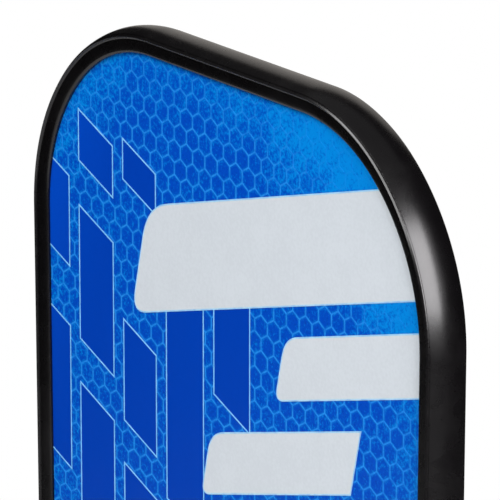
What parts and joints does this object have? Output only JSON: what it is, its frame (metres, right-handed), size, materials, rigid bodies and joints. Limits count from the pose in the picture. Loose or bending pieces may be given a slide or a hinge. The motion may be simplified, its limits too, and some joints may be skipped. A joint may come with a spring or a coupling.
{
  "type": "pickleball paddle",
  "caption": "Wide-body pickleball paddle: honeycomb panel with graphite faces and printed films, moulded edge guard and wrapped octagonal handle with butt cap.",
  "frame": {"origin": "centre of the butt end, where the paddle would stand on its handle", "axes": "+Z along the paddle from the butt end to the top of the head, +X across the face, -Y out of the front face"},
  "size_m": [0.2064, 0.034, 0.3937],
  "materials": {
    "aramid_paper": "resin-dipped aramid paper cells, matte",
    "adhesive_resin": "cured amber film adhesive",
    "graphite_laminate": "woven graphite in clear resin, satin",
    "printed_film": "printed film with a fine satin texture",
    "guard_plastic": "satin moulded black thermoplastic",
    "bonding_tape": "double-sided tape, matte",
    "pallet_wood": "planed basswood",
    "cap_plastic": "moulded black plastic, fine texture",
    "badge_plastic": "glossy domed inlay, blank",
    "staple_steel": "drawn zinc-plated wire",
    "grip_tape": "black perforated synthetic leather, slightly tacky",
    "vinyl_tape": "black vinyl tape",
    "collar_rubber": "moulded black rubber"
  },
  "bodies": {
    "root": {"honeycomb_core": "aramid_paper", "front_adhesive_film": "adhesive_resin", "rear_adhesive_film": "adhesive_resin", "front_face_sheet": "graphite_laminate", "rear_face_sheet": "graphite_laminate", "front_graphic_film": "printed_film", "rear_graphic_film": "printed_film", "edge_guard": "guard_plastic", "edge_bonding_tape": "bonding_tape", "handle_pallet_front": "pallet_wood", "handle_pallet_rear": "pallet_wood", "butt_cap": "cap_plastic", "butt_cap_badge": "badge_plastic", "butt_cap_staple_front": "staple_steel", "butt_cap_staple_rear": "staple_steel", "grip_wrap": "grip_tape", "grip_finishing_tape": "vinyl_tape", "grip_collar": "collar_rubber"}
  },
  "joints": []
}
